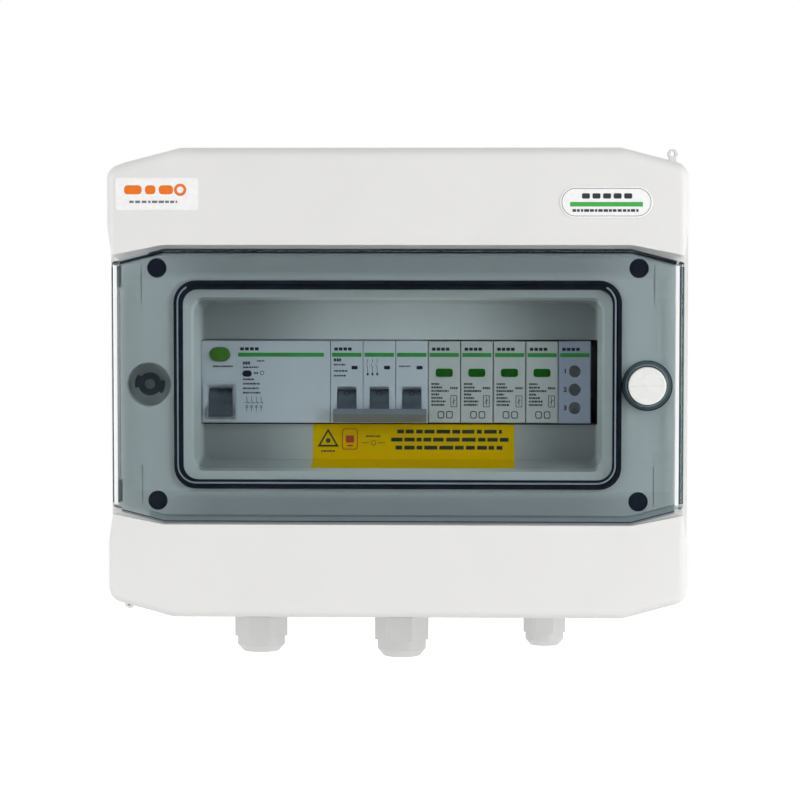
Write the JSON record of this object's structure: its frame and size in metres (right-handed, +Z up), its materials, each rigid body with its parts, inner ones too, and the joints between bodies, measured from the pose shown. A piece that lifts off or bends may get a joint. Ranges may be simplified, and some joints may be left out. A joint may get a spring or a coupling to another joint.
{
  "type": "surface-mount photovoltaic protection and combiner box",
  "caption": "Wall enclosure with a smoked hinged window door over a row of rail-mounted circuit protection modules, with cable glands below.",
  "frame": {"origin": "middle of the wall face (the flat back of the rear case)", "axes": "+Z up, -Y out of the wall towards the viewer, +X to the viewer's right"},
  "size_m": [0.315, 0.1436, 0.2837],
  "materials": {
    "case_plastic": "fine moulded texture",
    "door_clear": "smoked clear plastic",
    "seal_rubber": "matt",
    "dark_plastic": "satin",
    "striker_plastic": "satin",
    "knob_plastic": "satin gloss",
    "device_plastic": "fine moulded texture",
    "block_plastic": "fine moulded texture",
    "cartridge_plastic": "fine moulded texture",
    "lever_plastic": "satin",
    "tie_plastic": "satin",
    "test_green": "satin gloss",
    "clip_plastic": "satin",
    "gland_plastic": "satin",
    "steel": "zinc plated",
    "brass": "drawn",
    "wire_brown": "smooth insulation",
    "wire_blue": "smooth insulation",
    "wire_green": "smooth insulation",
    "label_white": "laminated film",
    "label_yellow": "laminated film"
  },
  "bodies": {
    "enclosure": {"rear_case": "case_plastic", "case_gasket": "seal_rubber", "front_cover": "case_plastic", "window_well": "case_plastic", "cover_screws": "steel", "screw_plugs": "dark_plastic", "door_gasket": "seal_rubber", "latch_strikers": "striker_plastic", "striker_screws": "steel", "din_rail": "steel", "rail_screws": "steel", "rcd_case": "device_plastic", "rcd_terminal_screws": "steel", "mcb_pole_1": "device_plastic", "mcb_pole_2": "device_plastic", "mcb_pole_3": "device_plastic", "mcb_terminal_screws": "steel", "spd_base": "device_plastic", "spd_terminal_screws": "steel", "terminal_block": "block_plastic", "terminal_block_screws": "steel", "gland_body_left": "gland_plastic", "gland_body_centre": "gland_plastic", "gland_body_right": "gland_plastic", "gland_nut_left": "gland_plastic", "gland_nut_centre": "gland_plastic", "gland_nut_right": "gland_plastic", "gland_seal_left": "seal_rubber", "gland_seal_centre": "seal_rubber", "gland_seal_right": "seal_rubber", "gland_locknuts": "gland_plastic", "neutral_bar": "brass", "earth_bar": "brass", "bar_holders": "clip_plastic", "bar_screws": "steel", "phase_wires": "wire_brown", "neutral_wire": "wire_blue", "earth_wire": "wire_green", "badge": "label_white", "nameplate": "label_white", "notice_label": "label_yellow"},
    "door_leaf": {"door": "door_clear", "hinge_pins": "steel"},
    "latch": {"latch_knob": "knob_plastic", "latch_retaining_ring": "dark_plastic"},
    "rcd_lever": {"rcd_toggle": "lever_plastic"},
    "mcb_levers": {"mcb_toggles": "lever_plastic", "mcb_tie_bar": "tie_plastic"},
    "test_button": {"rcd_test_button": "test_green"},
    "cartridge_1": {"spd_cartridge_1": "cartridge_plastic"},
    "cartridge_2": {"spd_cartridge_2": "cartridge_plastic"},
    "cartridge_3": {"spd_cartridge_3": "cartridge_plastic"},
    "cartridge_4": {"spd_cartridge_4": "cartridge_plastic"},
    "rcd_clip": {"rcd_din_clip": "clip_plastic"},
    "mcb_clips": {"mcb_din_clips": "clip_plastic"},
    "spd_clip": {"spd_din_clip": "clip_plastic"},
    "block_clip": {"terminal_block_clip": "clip_plastic"}
  },
  "joints": [
    {"name": "door_hinge", "type": "hinge", "parent": "enclosure", "child": "door_leaf", "pos_m": [-0.15, -0.126, 0], "axis": [0, 0, -1], "range_deg": [0, 110]},
    {"name": "latch_turn", "type": "hinge", "parent": "door_leaf", "child": "latch", "pos_m": [0.1335, -0.138, 0], "axis": [0, 1, 0], "range_deg": [0, 90]},
    {"name": "rcd_switch", "type": "hinge", "parent": "enclosure", "child": "rcd_lever", "pos_m": [-0.0974, -0.104, -0.0105], "axis": [-1, 0, 0], "range_deg": [0, 70]},
    {"name": "mcb_switch", "type": "hinge", "parent": "enclosure", "child": "mcb_levers", "pos_m": [-0.01075, -0.104, -0.0109], "axis": [-1, 0, 0], "range_deg": [0, 70]},
    {"name": "test_press", "type": "slide", "parent": "enclosure", "child": "test_button", "axis": [0, 1, 0], "range_m": [0, 0.0015], "stiffness_N_per_m": 800},
    {"name": "cartridge_1_pull", "type": "slide", "parent": "enclosure", "child": "cartridge_1", "axis": [0, -1, 0], "range_m": [0, 0.022]},
    {"name": "cartridge_2_pull", "type": "slide", "parent": "enclosure", "child": "cartridge_2", "axis": [0, -1, 0], "range_m": [0, 0.022]},
    {"name": "cartridge_3_pull", "type": "slide", "parent": "enclosure", "child": "cartridge_3", "axis": [0, -1, 0], "range_m": [0, 0.022]},
    {"name": "cartridge_4_pull", "type": "slide", "parent": "enclosure", "child": "cartridge_4", "axis": [0, -1, 0], "range_m": [0, 0.022]},
    {"name": "rcd_clip_release", "type": "slide", "parent": "enclosure", "child": "rcd_clip", "axis": [0, 0, -1], "range_m": [0, 0.004], "stiffness_N_per_m": 1500},
    {"name": "mcb_clips_release", "type": "slide", "parent": "enclosure", "child": "mcb_clips", "axis": [0, 0, -1], "range_m": [0, 0.004], "stiffness_N_per_m": 1500},
    {"name": "spd_clip_release", "type": "slide", "parent": "enclosure", "child": "spd_clip", "axis": [0, 0, -1], "range_m": [0, 0.004], "stiffness_N_per_m": 1500},
    {"name": "block_clip_release", "type": "slide", "parent": "enclosure", "child": "block_clip", "axis": [0, 0, -1], "range_m": [0, 0.004], "stiffness_N_per_m": 1500}
  ]
}
